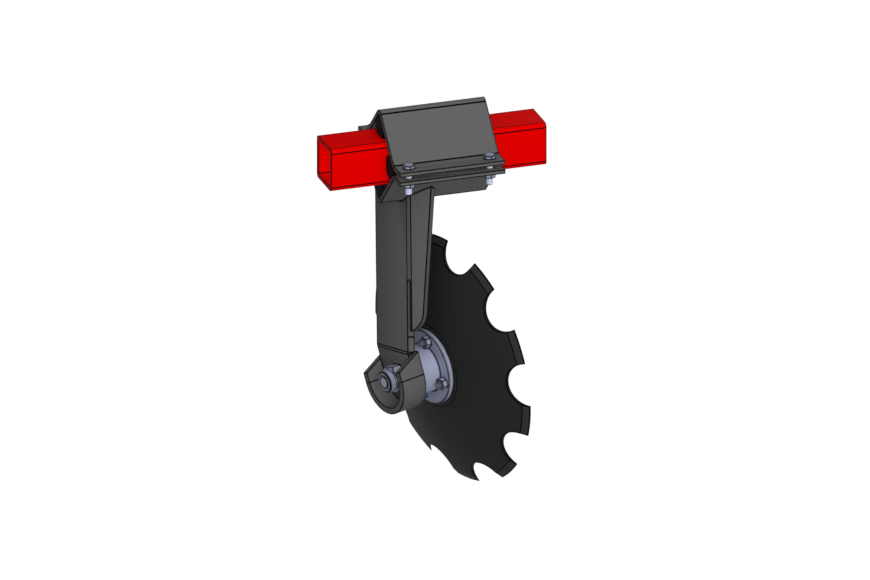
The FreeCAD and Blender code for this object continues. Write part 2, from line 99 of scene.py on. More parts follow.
def degrees(label, words, value):
    return bpy.props.FloatProperty(
        name=label, description=words, default=math.radians(value), subtype="ANGLE")


def plain(label, words, value):
    return bpy.props.FloatProperty(name=label, description=words, default=value)


def whole(label, words, value):
    return bpy.props.IntProperty(name=label, description=words, default=value)


def tint(label, words, value):
    return bpy.props.FloatVectorProperty(
        name=label, description=words, default=value, size=3, min=0.0, max=1.0, subtype="COLOR")


class DiscUnitSizes(bpy.types.PropertyGroup):
    """Sizes of the modelled pieces. Stations run along the axle from the arm's outer face."""
    arm_lean: degrees("Arm Lean", "How far the arm's tab leans round the axle", 18.85)
    disc_radius: metres("Disc Radius", "Outside radius of the disc", 0.230)
    disc_plate: metres("Disc Plate", "Thickness of the disc", 0.005)
    disc_dish: metres("Disc Dish", "Depth of the dish from the flat to the rim", 0.0435)
    disc_flat: metres("Disc Flat", "Radius of the flat middle of the disc", 0.0765)
    disc_station: metres("Disc Station", "Where the disc's flat front sits along the axle", 0.0685)
    rim_bevel: metres("Rim Bevel", "Width of the ground bevel at the disc's rim", 0.012)
    rim_edge: metres("Rim Edge", "Thickness left at the sharpened rim", 0.0015)
    disc_hole: metres("Disc Hole", "Radius of the disc's middle hole", 0.0403)
    notch_count: whole("Notches", "Round notches in the disc's rim", 10)
    notch_radius: metres("Notch Radius", "Radius of each notch", 0.040)
    tab_length: metres("Tab Length", "From the axle up to the fold of the arm", 0.051)
    tab_fold: degrees("Tab Fold", "Angle of the fold between tab and arm", 17.3)
    fold_skew: degrees("Fold Skew", "Slope of the fold line across the arm", 10.3)
    fold_bend: metres("Fold Bend", "Outside radius of the fold", 0.015)
    arm_half: metres("Arm Half Width", "Half the width of the arm's front bar", 0.047)
    wing_fold: degrees("Wing Fold", "Angle of the wing behind the bar", 30)
    wing_bend: metres("Wing Bend", "Outside radius of the bend between bar and wing", 0.019)
    slot_top: metres("Slot Top", "Top of the relief slot in the bend, above the fold", 0.121)
    # The dark band across the bar's edge is painted shade of a groove.
    groove_shade_low: metres("Groove Foot", "Foot of the dark groove across the bar's edge", 0.019)
    groove_shade_high: metres("Groove Top", "Top of the dark groove across the bar's edge", 0.022)
    bar_corner: metres("Crossbar Corner", "Outside radius of the crossbar's corners", 0.008)
    apex_bend: metres("Clamp Bend", "Outside radius of the clamp's middle bend", 0.014)
    foot_line: metres("Clamp Foot", "Middle of the clamp's small bends above its flanges", 0.0814)
    cord_corner: metres("Cord Corner", "Corner radius of the squeezed cords", 0.014)
    cord_inset: metres("Cord Inset", "How far the cords' ends lie inside the clamp's ends", 0.0006)
    notch_phase: degrees(
        "Notch Phase", "Angle of the first notch from the arm's upward line", -4.45)
    disc_bolt_circle: metres("Disc Bolt Circle", "Radius of the circle of disc bolts", 0.056)
    disc_bolt_phase: degrees("Disc Bolt Phase", "Angle of the first disc bolt", 32)
    disc_bolt_count: whole("Disc Bolts", "Bolts that hold the disc to the hub", 4)
    flange_station: metres(
        "Flange Station", "Where the hub flange's nut side sits along the axle", 0.0575)
    bolt_radius: metres("Bolt Radius", "Radius of the bolts", 0.006)
    bolt_across: metres(
        "Bolt Across Flats", "Width of the bolt heads and nuts across flats", 0.019)
    bolt_head: metres("Bolt Head", "Height of the bolt heads", 0.0075)
    bolt_pitch: metres("Thread Pitch", "Pitch of the bolts' thread", 0.00175)
    nut_height: metres("Nut Height", "Height of the lock nuts", 0.0108)
    clamp_bolt_length: metres(
        "Clamp Bolt Length", "Length of the clamp bolts under the head", 0.050)
    clamp_thread: metres("Clamp Bolt Thread", "Length of the clamp bolts' thread", 0.030)
    disc_bolt_length: metres("Disc Bolt Length", "Length of the disc bolts under the head", 0.0348)
    disc_thread: metres("Disc Bolt Thread", "Length of the disc bolts' thread", 0.022)
    bolt_rows: metres(
        "Clamp Bolt Rows", "How far the rows of clamp bolts are from the middle", 0.0975)
    bolt_columns: metres(
        "Clamp Bolt Columns", "How far the clamp bolts are from the middle", 0.075)
    flange_outside: metres("Clamp Flange Height", "Outer face of the clamp's flanges", 0.0126)
    spindle_radius: metres("Spindle Radius", "Radius of the spindle", 0.015)
    spindle_proud: metres(
        "Spindle Proud", "How far the spindle's end stands out of the arm", 0.035)
    spindle_nut_across: metres(
        "Spindle Nut Across Flats", "Width of the spindle nut across flats", 0.046)
    spindle_nut_height: metres("Spindle Nut Height", "Height of the spindle nut", 0.021)
    collar_radius: metres("Collar Radius", "Radius of the round lock collar", 0.0198)
    collar_lip: metres("Collar Lip", "Radius of the step on the collar's outer end", 0.0175)
    collar_step: metres("Collar Step", "Length of the step on the collar's outer end", 0.0018)
    collar_cap: metres(
        "Collar Cap", "Thickness of the collar where it laps over the spindle", 0.0012)
    spindle_neck: metres("Spindle Neck", "Radius of the spindle's outer end", 0.0104)
    collar_mouth: metres(
        "Collar Mouth", "Radius of the collar's mouth round the spindle's end", 0.0124)
    collar_depth: metres(
        "Collar Depth", "How far the collar's face lies behind the spindle's end", 0.0007)
    spindle_seat: metres(
        "Spindle Head Seat", "Where the spindle's head sits along the axle", 0.062)
    spindle_head: metres("Spindle Head", "Thickness of the spindle's head", 0.004)
    spindle_head_radius: metres("Spindle Head Radius", "Radius of the spindle's head", 0.022)
    edge_round: metres("Edge Rounding", "Broken edge on the plates and castings", 0.0004)
    cord_round: metres("Cord End Rounding", "Rounding of the cords' ends", 0.0015)
    ring_round: metres("Ring Rounding", "Rounding of the bearing rings' edges", 0.0006)


class DiscUnitColours(bpy.types.PropertyGroup):
    """Colours of the finishes, and sizes of the dark lines drawn on them."""
    bar_red: tint("Crossbar Red", "Gloss paint of the crossbar", (0.95, 0.0, 0.0))
    # The clamp's grey is the frame grey made lighter: painted light, standing in for the brighter
    # light on the clamp's sloped faces.
    clamp_lit_grey: tint("Clamp Grey", "Satin grey paint of the clamp plates", (0.158, 0.158, 0.158))
    frame_grey: tint("Frame Grey", "Satin paint of the arm and guard", (0.136, 0.136, 0.136))
    disc_black: tint("Disc Black", "Painted face of the disc", (0.030, 0.030, 0.030))
    disc_ground: tint("Disc Bevel", "Ground bevel at the disc's rim", (0.045, 0.045, 0.045))
    hub_zinc: tint("Hub Zinc", "Blue zinc plate of the hub", (0.375, 0.40, 0.54))
    shank_zinc: tint("Bolt Shank Zinc", "Blue zinc plate on the bolts' shanks", (0.75, 0.82, 1.0))
    stud_zinc: tint("Disc Bolt Zinc", "Dull threads of the disc's bolts", (0.12, 0.13, 0.14))
    bolt_zinc: tint("Bolt Zinc", "Bright zinc plate of the bolts and nuts", (0.365, 0.395, 0.51))
    cord_black: tint("Cord Rubber", "Rubber of the four cords", (0.014, 0.014, 0.014))
    bearing_steel: tint("Bearing Steel", "Polished steel of the bearing rings", (0.55, 0.55, 0.57))
    line_black: tint("Edge Black", "Dark line along edges and bends", (0.002, 0.002, 0.002))
    disc_seat: tint("Disc Middle", "Flat middle of the disc, round the hub", (0.040, 0.039, 0.036))
    seam_half: metres("Seam Line", "Half the width of the dark line along a bend", 0.0012)
    foot_half: metres(
        "Clamp Foot Line", "Half the width of the line along the clamp's small bends", 0.0017)
    hub_line: metres("Hub Line", "Width of the dark edge lines on the hub", 0.0058)
    bolt_line: metres(
        "Bolt Line", "Width of the dark edge lines on the bolts and their nuts", 0.0044)
    fine_line: metres(
        "Fine Line", "Width of the dark edge lines on the spindle and lock collar", 0.0034)
    # Reach of the painted shade, found by ambient occlusion, round a seated piece.
    contact_shade_reach: metres(
        "Contact Shade Line", "Reach of the dark line round a piece that is seated", 0.0045)
    line_width: metres("Edge Line", "Reach of the dark line on each side of an edge", 0.0050)


class DiscUnitStage(bpy.types.PropertyGroup):
    """Camera, lights and floor."""
    view_azimuth: degrees(
        "View Azimuth", "Which side the camera stands on, round the crossbar", -18.369)
    view_elevation: degrees("View Elevation", "Height of the camera above the horizon", 22.227)
    view_width: metres("View Width", "Width of the picture on the object", 1.5318)
    aim_right: metres("Aim Right", "Middle of the picture, to the right of the origin", 0.005846)
    aim_down: metres("Aim Down", "Middle of the picture, below the origin", 0.24676)
    view_distance: metres("View Distance", "Distance of the camera from the aim point", 3.0)
    sun_elevation: degrees("Sun Elevation", "Height of the main light above the horizon", 22)
    sun_strength: plain("Sun Strength", "Strength of the main light", 0.5)
    fill_strength: plain("Fill Strength", "Strength of the fill light from the same side", 1.34)
    sun_spread: degrees("Sun Spread", "Angular size of the main light", 35)
    sky_strength: plain("Sky Strength", "Even light from all sides", 0.295)
    floor_drop: metres("Floor Drop", "Height of the crossbar above the floor", 2.2)
    floor_size: metres("Floor Size", "Side of the square floor", 60.0)
    floor_tone: plain("Floor Tone", "How pale the floor's own colour is", 0.35)
    floor_lift: plain("Floor Lift", "Light added to the floor where the camera sees it", 0.85)


def sizes():
    return bpy.context.scene.disc_unit_sizes


def colours():
    return bpy.context.scene.disc_unit_colours


def stage():
    return bpy.context.scene.disc_unit_stage


# Places


def spin_joint():
    return next(joint for joint in frame["joints"] if joint["name"] == "disc_spin")


def tab_place():
    """Local x runs across the arm's tab, y into the hub along the axle and z up the tab."""
    joint = spin_joint()
    inward = Vector(joint["axis"]).normalized()
    level = inward.cross(Vector((0, 0, 1))).normalized()
    rise = level.cross(inward)
    lean = sizes().arm_lean
    across = level * math.cos(lean) + rise * math.sin(lean)
    upward = rise * math.cos(lean) - level * math.sin(lean)
    place = Matrix((across, inward, upward)).transposed().to_4x4()
    place.translation = Vector(joint["pos_m"])
    return place


def axle_place():
    """Local z runs along the axle into the hub, x across the arm and -y up the arm."""
    return tab_place() @ Matrix.Rotation(-math.pi / 2, 4, "X")


def fold_line():
    """Direction of the arm's fold, in the tab's place."""
    skew = sizes().fold_skew
    return Vector((math.cos(skew), 0, -math.sin(skew)))


def arm_place():
    """Local x runs across the arm's front bar, y into its plate and z up the arm from the fold."""
    turn = Matrix.Rotation(-sizes().tab_fold, 4, fold_line())
    return tab_place() @ Matrix.Translation((0, 0, sizes().tab_length)) @ turn


# Modelling steps


def deselect():
    if bpy.context.mode != "OBJECT":
        close_edit()
    bpy.ops.object.select_all(action="DESELECT")


def pick(piece):
    deselect()
    piece.select_set(True)
    bpy.context.view_layer.objects.active = piece


def edit(choice="SELECT"):
    """Opens the active piece in edit mode, with all of it selected or nothing."""
    bpy.ops.object.mode_set(mode="EDIT")
    bpy.ops.mesh.select_all(action=choice)


def close_edit():
    bpy.ops.object.mode_set(mode="OBJECT")


def apply_modifier(piece, kind, **settings):
    pick(piece)
    modifier = piece.modifiers.new(kind.title(), kind)
    for name, value in settings.items():
        setattr(modifier, name, value)
    bpy.ops.object.modifier_apply(modifier=modifier.name)


def carve(piece, tool, operation="DIFFERENCE"):
    apply_modifier(piece, "BOOLEAN", object=tool, operation=operation, solver="EXACT")
    bpy.data.objects.remove(tool, do_unlink=True)


def settle(piece, place=Matrix()):
    """Puts the piece where it belongs, with its place in its mesh."""
    pick(piece)
    piece.matrix_world = place @ piece.matrix_world
    bpy.ops.object.transform_apply(location=True, rotation=True, scale=True)


def smooth(piece, angle=35):
    pick(piece)
    bpy.ops.object.shade_smooth_by_angle(angle=math.radians(angle))


def break_edges(piece, width, steps=2, angle=30):
    apply_modifier(piece, "BEVEL", width=width, segments=steps, limit_method="ANGLE",
                   angle_limit=math.radians(angle), miter_outer="MITER_ARC")


def cylinder(name, steps, radius, depth, spot, turn=ORIGIN):
    """Adds a cylinder along z, or turned, for a piece or a cutter to start from."""
    deselect()
    bpy.ops.mesh.primitive_cylinder_add(vertices=steps, radius=radius, depth=depth,
                                        location=spot, rotation=turn)
    piece = bpy.context.object
    piece.name = name
    return piece


def turned(name, rings, steps=96):
    """A turned shape round local z from (radius, height) rings, open rings at its ends capped."""
    deselect()
    first = rings[0]
    bpy.ops.mesh.primitive_circle_add(vertices=steps, radius=first[0], location=(0, 0, first[1]))
    piece = bpy.context.object
    piece.name = name
    edit()
    bpy.ops.mesh.select_mode(type="EDGE")
    for last, ring in zip(rings, rings[1:]):
        rise = (0, 0, ring[1] - last[1])
        bpy.ops.mesh.extrude_region_move(TRANSFORM_OT_translate={"value": rise})
        factor = ring[0] / last[0]
        bpy.ops.transform.resize(value=(factor, factor, 1), center_override=ORIGIN)
    bpy.ops.mesh.select_all(action="SELECT")
    bpy.ops.mesh.remove_doubles(threshold=MERGE_DISTANCE)
    bpy.ops.mesh.select_all(action="DESELECT")
    bpy.ops.mesh.select_non_manifold()
    bpy.ops.mesh.fill_holes(sides=0)
    bpy.ops.mesh.select_all(action="SELECT")
    bpy.ops.mesh.normals_make_consistent(inside=False)
    close_edit()
    settle(piece)
    return piece


def hexagon(name, across, low, high, both_ends=False):
    """A hexagon with the round chamfer of a turned head on its top, or on both its ends."""
    corner = across / math.sqrt(3)
    piece = cylinder(name, 6, corner, high - low, (0, 0, (low + high) / 2))
    flat = across / 2 * CHAMFER_START
    reach = corner * CHAMFER_REACH
    drop = (reach - flat) * CHAMFER_SLOPE
    foot = [(flat, low), (reach, low + drop)] if both_ends else [(reach, low - OVERLAP)]
    shape = turned(name + "_chamfer", foot + [(reach, high - drop), (flat, high)], steps=64)
    carve(piece, shape, "INTERSECT")
    settle(piece)
    return piece


def drill(piece, spot, radius, steps):
    """Cuts a round hole along z, right through the piece."""
    carve(piece, cylinder("drill", steps, radius, CUTTER_LENGTH, spot))


def joined(name, pieces):
    pick(pieces[0])
    for piece in pieces:
        piece.select_set(True)
    bpy.ops.object.join()
    whole = bpy.context.object
    whole.name = name
    return whole


def united(name, pieces):
    whole = pieces[0]
    for piece in pieces[1:]:
        carve(whole, piece, "UNION")
    whole.name = name
    return whole


def placed_copy(pattern, name, place):
    copy = pattern.copy()
    copy.data = pattern.data.copy()
    copy.name = name
    bpy.context.collection.objects.link(copy)
    settle(copy, place)
    return copy


def traced(node, name):
    """A piece made from a frame node's own surface: merged and freed of its triangles."""
    source = frame["nodes"][node]
    deselect()
    piece = source.copy()
    piece.data = source.data.copy()
    piece.name = name
    piece.parent = None
    bpy.context.collection.objects.link(piece)
    piece.hide_render = False
    piece.hide_viewport = False
    pick(piece)
    edit()
    bpy.ops.mesh.remove_doubles(threshold=MERGE_DISTANCE)
    bpy.ops.mesh.dissolve_limited(angle_limit=FLAT_ANGLE)
    close_edit()
    return piece


def rounded(node, name, width=None):
    """A traced piece with its edges broken."""
    piece = traced(node, name)
    break_edges(piece, width or sizes().edge_round)
    smooth(piece)
    return piece


def paint(piece, *materials):
    piece.data.materials.clear()
    for material in materials:
        piece.data.materials.append(material)


def hand_over(piece, body, slot, *nodes):
    """Gives a finished piece its body and hides the frame nodes it stands for. The slot argument
    is not used.
    """
    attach(piece, body)
    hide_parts(*nodes)


# Shader building


def add_node(tree, kind, **settings):
    node = tree.nodes.new(kind)
    for name, value in settings.items():
        setattr(node, name, value)
    return node


def feed(tree, socket, value):
    if isinstance(value, bpy.types.NodeSocket):
        tree.links.new(value, socket)
    else:
        socket.default_value = value


def calculate(tree, operation, *values):
    node = add_node(tree, "ShaderNodeMath", operation=operation)
    for socket, value in zip(node.inputs, values):
        feed(tree, socket, value)
    return node.outputs[0]


def vector_math(tree, operation, *values, output="Vector"):
    node = add_node(tree, "ShaderNodeVectorMath", operation=operation)
    for socket, value in zip(node.inputs, values):
        feed(tree, socket, value)
    return node.outputs[output]


def ramp(tree, value, low, high, start=0.0, end=1.0):
    node = add_node(tree, "ShaderNodeMapRange", interpolation_type="SMOOTHSTEP")
    names = ("Value", "From Min", "From Max", "To Min", "To Max")
    for name, given in zip(names, (value, low, high, start, end)):
        feed(tree, node.inputs[name], given)
    return node.outputs["Result"]


def blend_colour(tree, factor, first, second):
    node = add_node(tree, "ShaderNodeMix", data_type="RGBA")
    feed(tree, node.inputs["Factor"], factor)
    feed(tree, node.inputs["A"], first)
    feed(tree, node.inputs["B"], second)
    return node.outputs["Result"]


def rgba(colour):
    return (colour[0], colour[1], colour[2], 1.0)


def new_group(name, inputs, outputs):
    """An empty shader group with named float, colour or vector sockets."""
    group = bpy.data.node_groups.new(name, "ShaderNodeTree")
    kinds = {"float": "NodeSocketFloat", "colour": "NodeSocketColor", "vector": "NodeSocketVector"}
    for label, kind, value in inputs:
        socket = group.interface.new_socket(name=label, in_out="INPUT", socket_type=kinds[kind])
        socket.default_value = value
    for label, kind in outputs:
        group.interface.new_socket(name=label, in_out="OUTPUT", socket_type=kinds[kind])
    return group, add_node(group, "NodeGroupInput"), add_node(group, "NodeGroupOutput")


def shared_group(name, build):
    """A node group that is built once, for all the materials that use it."""
    return bpy.data.node_groups.get(name) or build(name)


def object_spot(tree):
    return add_node(tree, "ShaderNodeTexCoord").outputs["Object"]


def edge_line_group(name):
    """Mask of a thin line along every sharp edge."""
    group, given, result = new_group(name, [("Width", "float", 0.005)], [("Mask", "float")])
    round_edge = add_node(group, "ShaderNodeBevel", samples=LINE_SAMPLES)
    group.links.new(given.outputs["Width"], round_edge.inputs["Radius"])
    surface = add_node(group, "ShaderNodeNewGeometry")
    agreement = vector_math(group, "DOT_PRODUCT", round_edge.outputs["Normal"],
                            surface.outputs["Normal"], output="Value")
    turn = calculate(group, "SUBTRACT", 1.0, agreement)
    feed(group, result.inputs["Mask"], ramp(group, turn, *EDGE_TURN))
    return group


def contact_shade_line_group(name):
    """Mask of painted shade: a thin dark line where another surface stands close by, found by
    ambient occlusion.
    """
    group, given, result = new_group(name, [("Reach", "float", 0.0045)], [("Mask", "float")])
    openness = add_node(group, "ShaderNodeAmbientOcclusion", samples=LINE_SAMPLES)
    group.links.new(given.outputs["Reach"], openness.inputs["Distance"])
    closeness = ramp(group, openness.outputs["AO"], *CONTACT_OPENNESS, start=1.0, end=0.0)
    feed(group, result.inputs["Mask"], closeness)
    return group


def seam_line_group(name):
    """Mask of a thin line where the surface crosses a plane."""
    group, given, result = new_group(
        name,
        [("Direction", "vector", (0, 0, 1)), ("Station", "float", 0.0),
         ("Half Width", "float", 0.001)],
        [("Mask", "float")])
    place = object_spot(group)
    along = vector_math(group, "DOT_PRODUCT", place, given.outputs["Direction"], output="Value")
    off = calculate(group, "SUBTRACT", along, given.outputs["Station"])
    away = calculate(group, "ABSOLUTE", off)
    low = calculate(group, "MULTIPLY", given.outputs["Half Width"], 1 - SEAM_FADE)
    high = calculate(group, "MULTIPLY", given.outputs["Half Width"], 1 + SEAM_FADE)
    feed(group, result.inputs["Mask"], ramp(group, away, low, high, start=1.0, end=0.0))
    return group


def paint_grain_group(name):
    """Slow tone changes and the fine peel of sprayed paint."""
    group, given, result = new_group(
        name,
        [("Colour", "colour", (0.5, 0.5, 0.5, 1.0)), ("Tone", "float", 0.05),
         ("Peel", "float", 700.0), ("Dull", "float", 0.5)],
        [("Colour", "colour"), ("Roughness", "float"), ("Height", "float")])
    place = object_spot(group)
    cloud = add_node(group, "ShaderNodeTexNoise")
    feed(group, cloud.inputs["Vector"], place)
    cloud.inputs["Scale"].default_value = 14.0
    cloud.inputs["Detail"].default_value = 4.0
    peel = add_node(group, "ShaderNodeTexNoise")
    feed(group, peel.inputs["Vector"], place)
    group.links.new(given.outputs["Peel"], peel.inputs["Scale"])
    peel.inputs["Detail"].default_value = 2.0
    away = calculate(group, "SUBTRACT", cloud.outputs["Fac"], 0.5)
    swing = calculate(group, "MULTIPLY_ADD", away, given.outputs["Tone"], 1.0)
    toned = vector_math(group, "SCALE", given.outputs["Colour"])
    group.links.new(swing, toned.node.inputs["Scale"])
    group.links.new(toned, result.inputs["Colour"])
    dull_swing = 0.15
    dull = calculate(group, "MULTIPLY_ADD", away, dull_swing, given.outputs["Dull"])
    group.links.new(dull, result.inputs["Roughness"])
    group.links.new(peel.outputs["Fac"], result.inputs["Height"])
    return group


def new_material(name):
    material = bpy.data.materials.new(name)
    material.use_nodes = True
    tree = material.node_tree
    shader = next(node for node in tree.nodes if node.type == "BSDF_PRINCIPLED")
    return material, tree, shader


def put_group(tree, group, **values):
    node = add_node(tree, "ShaderNodeGroup", node_tree=group)
    for name, value in values.items():
        feed(tree, node.inputs[name.replace("_", " ")], value)
    return node


def bump(tree, height, distance, strength):
    node = add_node(tree, "ShaderNodeBump")
    feed(tree, node.inputs["Height"], height)
    node.inputs["Distance"].default_value = distance
    node.inputs["Strength"].default_value = strength
    return node.outputs["Normal"]


def either(tree, masks):
    """The strongest of several masks."""
    strongest = masks[0]
    for mask in masks[1:]:
        strongest = calculate(tree, "MAXIMUM", strongest, mask)
    return strongest


def edge_line(tree, width):
    return put_group(tree, shared_group("Edge Line", edge_line_group), Width=width).outputs["Mask"]


def contact_shade_line(tree):
    group = shared_group("Contact Shade Line", contact_shade_line_group)
    return put_group(tree, group, Reach=colours().contact_shade_reach).outputs["Mask"]


def drawn_lines(tree, width):
    """Lines along sharp edges, and painted shade round seated pieces."""
    return [edge_line(tree, width), contact_shade_line(tree)]


def plane(place, direction, point):
    """World direction and station of a plane through a point, both given in a local place."""
    world = (place.to_3x3() @ Vector(direction)).normalized()
    return world, world.dot(place @ Vector(point))


def seam(tree, direction, station, half=None):
    """Line on a plane, given by its direction and its distance from the origin."""
    node = put_group(tree, shared_group("Seam Line", seam_line_group), Direction=tuple(direction),
                     Station=station, Half_Width=half or colours().seam_half)
    return node.outputs["Mask"]


def seam_at(tree, place, direction, point, half=None):
    """Line on the plane through a point, in a local place."""
    return seam(tree, *plane(place, direction, point), half)


def beyond(tree, place, direction, point):
    """Mask of all that lies past the plane through a point, in a local place."""
    world, station = plane(place, direction, point)
    along = vector_math(tree, "DOT_PRODUCT", object_spot(tree), tuple(world), output="Value")
    return calculate(tree, "GREATER_THAN", along, station)


def paint_grain(tree, colour, **values):
    group = shared_group("Paint Grain", paint_grain_group)
    return put_group(tree, group, Colour=rgba(colour), **values)


def wire_up(tree, shader, colour, grain, masks, depth, gloss, strength=0.4):
    """Joins the colour with its dark lines and the grain's roughness and relief to the shader."""
    if masks:
        colour = blend_colour(tree, either(tree, masks), colour, rgba(colours().line_black))
    feed(tree, shader.inputs["Base Color"], colour)
    feed(tree, shader.inputs["Roughness"], grain.outputs["Roughness"])
    feed(tree, shader.inputs["Normal"], bump(tree, grain.outputs["Height"], depth, strength))
    shader.inputs["Specular IOR Level"].default_value = gloss


def painted(name, colour, tone, dull, depth, gloss, seams=None):
    """Sprayed paint with dark lines along its edges and bends, and painted shade where another
    piece stands close.
    """
    material, tree, shader = new_material(name)
    grain = paint_grain(tree, colour, Tone=tone, Dull=dull)
    masks = drawn_lines(tree, colours().line_width)
    if seams is not None:
        masks += seams(tree)
    wire_up(tree, shader, grain.outputs["Colour"], grain, masks, depth, gloss)
    return material


def crossbar_seams(tree):
    """Lines where the crossbar's rounded corners start, on its outer faces only."""
    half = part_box("crossbar_tube")[1][2]
    tangent = half - sizes().bar_corner
    skin = sizes().bar_corner / 4
    lines = [seam(tree, direction, side * tangent)
             for direction in ((0, 1, 0), (0, 0, 1)) for side in (-1, 1)]
    reach = add_node(tree, "ShaderNodeSeparateXYZ")
    feed(tree, reach.inputs["Vector"], vector_math(tree, "ABSOLUTE", object_spot(tree)))
    far = calculate(tree, "MAXIMUM", reach.outputs["Y"], reach.outputs["Z"])
    outside = calculate(tree, "GREATER_THAN", far, half - skin)
    return [calculate(tree, "MULTIPLY", either(tree, lines), outside)]


def clamp_seams(tree):
    """Lines on both sides of the clamp's middle bend, and a broad one along its small bends."""
    apex = sizes().apex_bend * math.sin(math.pi / 4)
    foot = sizes().foot_line
    broad = colours().foot_half
    lines = [seam(tree, (0, 1, 0), side * apex) for side in (-1, 1)]
    return lines + [seam(tree, (0, 1, 0), side * foot, broad) for side in (-1, 1)]


def arm_seams(tree):
    """Lines along the bend to the wing and along the fold, and painted shade of a groove across
    the bar's edge.
    """
    size = sizes()
    arm = arm_place()
    tab = tab_place()
    fold = size.wing_fold
    centre = (size.arm_half, size.wing_bend, 0)
    above_slot = beyond(tree, arm, (0, 0, 1), (0, 0, size.slot_top))
    bend_start = calculate(tree, "MULTIPLY", seam_at(tree, arm, (1, 0, 0), centre), above_slot)
    bend_end = seam_at(tree, arm, (math.cos(fold), math.sin(fold), 0), centre)
    line = fold_line()
    run = size.fold_bend * math.tan(size.tab_fold / 2)
    up_tab = Vector((-line.z, 0, line.x))
    foot = Vector((0, 0, size.tab_length)) - up_tab * run
    fold_low = seam_at(tree, tab, up_tab, foot)
    fold_high = seam_at(tree, arm, up_tab, up_tab * run)
    # Painted shade: a dark band across the bar's edge where a groove is.
    middle = (size.groove_shade_low + size.groove_shade_high) / 2
    half = (size.groove_shade_high - size.groove_shade_low) / 2
    groove_shade = seam_at(tree, arm, (0, 0, 1), (0, 0, middle), half)
    on_edge = beyond(tree, arm, (1, 0, 0), (size.arm_half - EDGE_SKIN, 0, 0))
    groove_shade = calculate(tree, "MULTIPLY", groove_shade, on_edge)
    return [bend_start, bend_end, fold_low, fold_high, groove_shade]


def guard_seams(tree):
    """Line where the guard's straight sides meet its half round."""
    return [seam_at(tree, tab_place(), (0, 0, 1), ORIGIN)]


def bar_paint():
    return painted("crossbar_gloss_red", colours().bar_red, tone=0.03, dull=0.45, depth=0.00003,
                   gloss=0.006, seams=crossbar_seams)


def satin_grey(name, colour, seams):
    """Satin paint of the clamp, arm and guard, each with its own lines along its bends."""
    return painted(name, colour, tone=0.05, dull=0.55, depth=0.00006, gloss=0.01, seams=seams)


def cord_rubber():
    return painted("cord_black_rubber", colours().cord_black, tone=0.15, dull=0.8, depth=0.0001,
                   gloss=0.02)


def plated(name, colour, metal=0.1, dull=0.4, line=None, seated=False):
    """Zinc plate: a faint cloudy bloom, fine scratches, dark lines along edges, and painted shade
    at contacts.
    """
    material, tree, shader = new_material(name)
    grain = paint_grain(tree, colour, Tone=0.10, Peel=2200.0, Dull=dull)
    masks = [edge_line(tree, line)] if line else []
    # A seated piece gets painted shade where another surface stands close.
    if seated:
        masks.append(contact_shade_line(tree))
    wire_up(tree, shader, grain.outputs["Colour"], grain, masks, depth=0.00002, gloss=0.05,
            strength=0.3)
    shader.inputs["Metallic"].default_value = metal
    return material


def hub_plate():
    return plated("hub_blue_zinc", colours().hub_zinc, metal=0.05, dull=0.5,
                  line=colours().hub_line, seated=True)


def bolt_plate():
    return plated("fastener_zinc", colours().bolt_zinc, line=colours().bolt_line)


def spindle_nut_plate():
    return plated("spindle_nut_zinc", colours().bolt_zinc, line=colours().line_width, seated=True)


def spindle_plate():
    return plated("spindle_zinc", colours().bolt_zinc, line=colours().fine_line)


def shank_plate():
    return plated("shank_zinc", colours().shank_zinc)


def stud_plate():
    return plated("stud_zinc", colours().stud_zinc, dull=0.5)


def ring_steel():
    return plated("polished_ring_steel", colours().bearing_steel, metal=1.0, dull=0.2)


def disc_finish():
    """Black paint, a shade lighter on the flat round the hub, and a ground bevel along the rim."""
    size = sizes()
    material, tree, shader = new_material("disc_black_paint")
    flat = vector_math(tree, "SUBTRACT", object_spot(tree), tuple(spin_joint()["pos_m"]))
    axis = tuple(Vector(spin_joint()["axis"]).normalized())
    out = vector_math(tree, "CROSS_PRODUCT", flat, axis)
    distance = vector_math(tree, "LENGTH", out, output="Value")
    bevel_start = size.disc_radius - size.rim_bevel
    ground = ramp(tree, distance, bevel_start - BEVEL_FADE, bevel_start + BEVEL_FADE)
    grain = paint_grain(tree, colours().disc_black, Tone=0.12, Peel=900.0, Dull=0.5)
    face = blend_colour(tree, ground, grain.outputs["Colour"], rgba(colours().disc_ground))
    seat = calculate(tree, "LESS_THAN", distance, size.disc_flat)
    face = blend_colour(tree, seat, face, rgba(colours().disc_seat))
    masks = drawn_lines(tree, colours().line_width)
    for circle in (bevel_start, size.disc_flat):
        away = calculate(tree, "ABSOLUTE", calculate(tree, "SUBTRACT", distance, circle))
        masks.append(ramp(tree, away, *CIRCLE_LINE, start=1.0, end=0.0))
    wire_up(tree, shader, face, grain, masks, depth=0.00005, gloss=0.02)
    return material


def finish_named(name, make):
    return bpy.data.materials.get(name) or make()


# Pieces


class DISCUNIT_OT_crossbar(bpy.types.Operator):
    """Square crossbar in gloss red"""
    bl_idname = "discunit.crossbar"
    bl_label = "Crossbar"

    def execute(self, context):
        piece = rounded("crossbar_tube", "crossbar")
        paint(piece, bar_paint())
        hand_over(piece, "crossbar", "bar_paint", "crossbar_tube")
        return {"FINISHED"}


